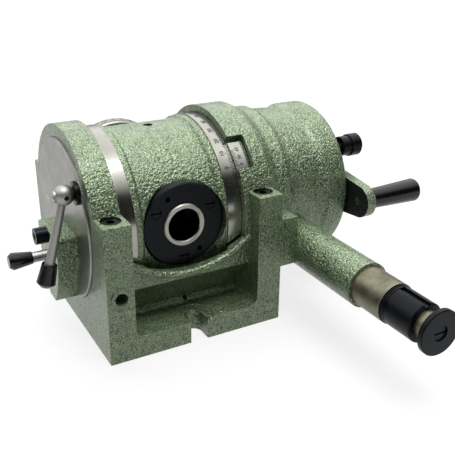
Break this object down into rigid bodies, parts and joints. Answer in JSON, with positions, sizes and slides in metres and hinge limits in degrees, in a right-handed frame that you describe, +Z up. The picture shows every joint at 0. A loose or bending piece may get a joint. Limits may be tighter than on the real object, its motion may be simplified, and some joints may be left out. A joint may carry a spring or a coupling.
{
  "type": "dividing head",
  "caption": "Universal dividing head with swivelling drum, through-bored spindle, worm drive, index plate with crank, and an input shaft for change gears.",
  "frame": {"origin": "underside of the base, below the crossing of the swivel axis and the spindle's vertical plane", "axes": "+X along the swivel axis towards the crank, +Y along the spindle towards its nose, +Z up"},
  "size_m": [0.4215, 0.4202, 0.1982],
  "materials": {
    "green_casting": "satin machine enamel over cast iron",
    "bare_steel": "turned steel, light oil film",
    "bright_steel": "ground bright steel",
    "dark_steel": "dark oiled steel",
    "black_steel": "black oxide steel",
    "satin_chrome": "satin chrome scale surface",
    "brass": "turned brass",
    "bronze": "bearing bronze",
    "black_plastic": "moulded black plastic"
  },
  "bodies": {
    "base": {"base_casting": "green_casting", "clamp_screws": "black_steel", "clamp_shoes": "bare_steel", "vernier_plate": "bright_steel", "gear_housing": "green_casting", "lug_screws": "black_steel", "housing_bush": "bronze", "input_sleeve": "bare_steel"},
    "drum": {"drum_casting": "green_casting", "plain_band": "bright_steel", "degree_band": "bright_steel", "left_journal_disc": "bare_steel", "right_journal": "bare_steel", "worm_bushes": "bronze", "crank_shaft_bush": "bronze", "worm_end_block": "green_casting", "thrust_screw": "black_steel", "brass_plugs": "brass", "rear_bearing_cap": "black_steel", "cap_screws": "black_steel", "bearing_outer_rings": "bare_steel", "nose_bearing_carrier": "bare_steel", "carrier_screws": "black_steel"},
    "spindle": {"spindle": "bright_steel", "indexing_dial": "satin_chrome", "worm_wheel": "bronze", "bearing_inner_rings": "bare_steel", "bearing_rollers": "bright_steel"},
    "worm": {"worm_shaft": "bare_steel", "worm_spur_gear": "bare_steel"},
    "crank": {"crank_shaft": "bare_steel", "crank_spur_gear": "bare_steel", "crank_arm": "dark_steel", "crank_nut": "black_steel", "handle_stud": "bare_steel", "plunger_sleeve": "black_steel", "plunger_spring": "bare_steel"},
    "handle": {"handle_grip": "black_plastic"},
    "plunger": {"plunger_knob": "black_steel", "plunger_pin": "bright_steel"},
    "plate": {"index_plate": "bare_steel", "plate_sleeve": "bare_steel", "plate_cross_gear": "bare_steel", "sector_arm_fixed": "bright_steel", "sector_spring_clip": "black_steel"},
    "sector": {"sector_arm_moving": "bright_steel"},
    "input": {"input_shaft": "bright_steel", "input_cross_gear": "bare_steel", "grooved_ring": "bright_steel", "change_gear_collar": "black_steel", "input_key": "bare_steel", "end_washer": "black_steel", "end_screw": "black_steel"},
    "lock_lever": {"lock_ball_hub": "bright_steel", "lock_stud": "bare_steel", "lock_stud_end": "bare_steel", "lock_lever_rod": "bright_steel", "lock_lever_grip": "black_plastic"},
    "pull_pin": {"pull_pin_rod": "bright_steel", "pull_pin_grip": "black_plastic"}
  },
  "joints": [
    {"name": "drum_tilt", "type": "hinge", "parent": "base", "child": "drum", "pos_m": [0, 0, 0.105], "axis": [1, 0, 0], "range_deg": [-5, 95]},
    {"name": "crank_turn", "type": "hinge", "parent": "base", "child": "crank", "pos_m": [0.196, 0, 0.105], "axis": [1, 0, 0], "continuous": true},
    {"name": "spindle_turn", "type": "hinge", "parent": "drum", "child": "spindle", "pos_m": [0, 0, 0.11], "axis": [0, 1, 0], "continuous": true},
    {"name": "worm_turn", "type": "hinge", "parent": "drum", "child": "worm", "pos_m": [0, -0.014, 0.062], "axis": [1, 0, 0], "continuous": true},
    {"name": "plate_turn", "type": "hinge", "parent": "base", "child": "plate", "pos_m": [0.179, 0, 0.105], "axis": [1, 0, 0], "continuous": true},
    {"name": "input_turn", "type": "hinge", "parent": "base", "child": "input", "pos_m": [0.1264, -0.13, 0.07], "axis": [0, 1, 0], "continuous": true},
    {"name": "handle_spin", "type": "hinge", "parent": "crank", "child": "handle", "pos_m": [0.24, -0.099, 0.105], "axis": [1, 0, 0], "continuous": true},
    {"name": "plunger_pull", "type": "slide", "parent": "crank", "child": "plunger", "axis": [1, 0, 0], "range_m": [0, 0.01], "stiffness_N_per_m": 600, "springref_m": -0.008},
    {"name": "sector_swing", "type": "hinge", "parent": "plate", "child": "sector", "pos_m": [0.185, 0, 0.105], "axis": [1, 0, 0], "range_deg": [-35, 120]},
    {"name": "lock_swing", "type": "hinge", "parent": "drum", "child": "lock_lever", "pos_m": [-0.1045, -0.054, 0.15], "axis": [1, 0, 0], "range_deg": [-75, 6]},
    {"name": "pull_pin_slide", "type": "slide", "parent": "drum", "child": "pull_pin", "axis": [-1, 0, 0], "range_m": [0, 0.008]}
  ],
  "couplings": [
    {"joint": "spindle_turn", "follows": "crank_turn", "ratio": -0.025},
    {"joint": "worm_turn", "follows": "crank_turn", "ratio": -1},
    {"joint": "plate_turn", "follows": "crank_turn", "ratio": 1},
    {"joint": "input_turn", "follows": "crank_turn", "ratio": 1}
  ]
}
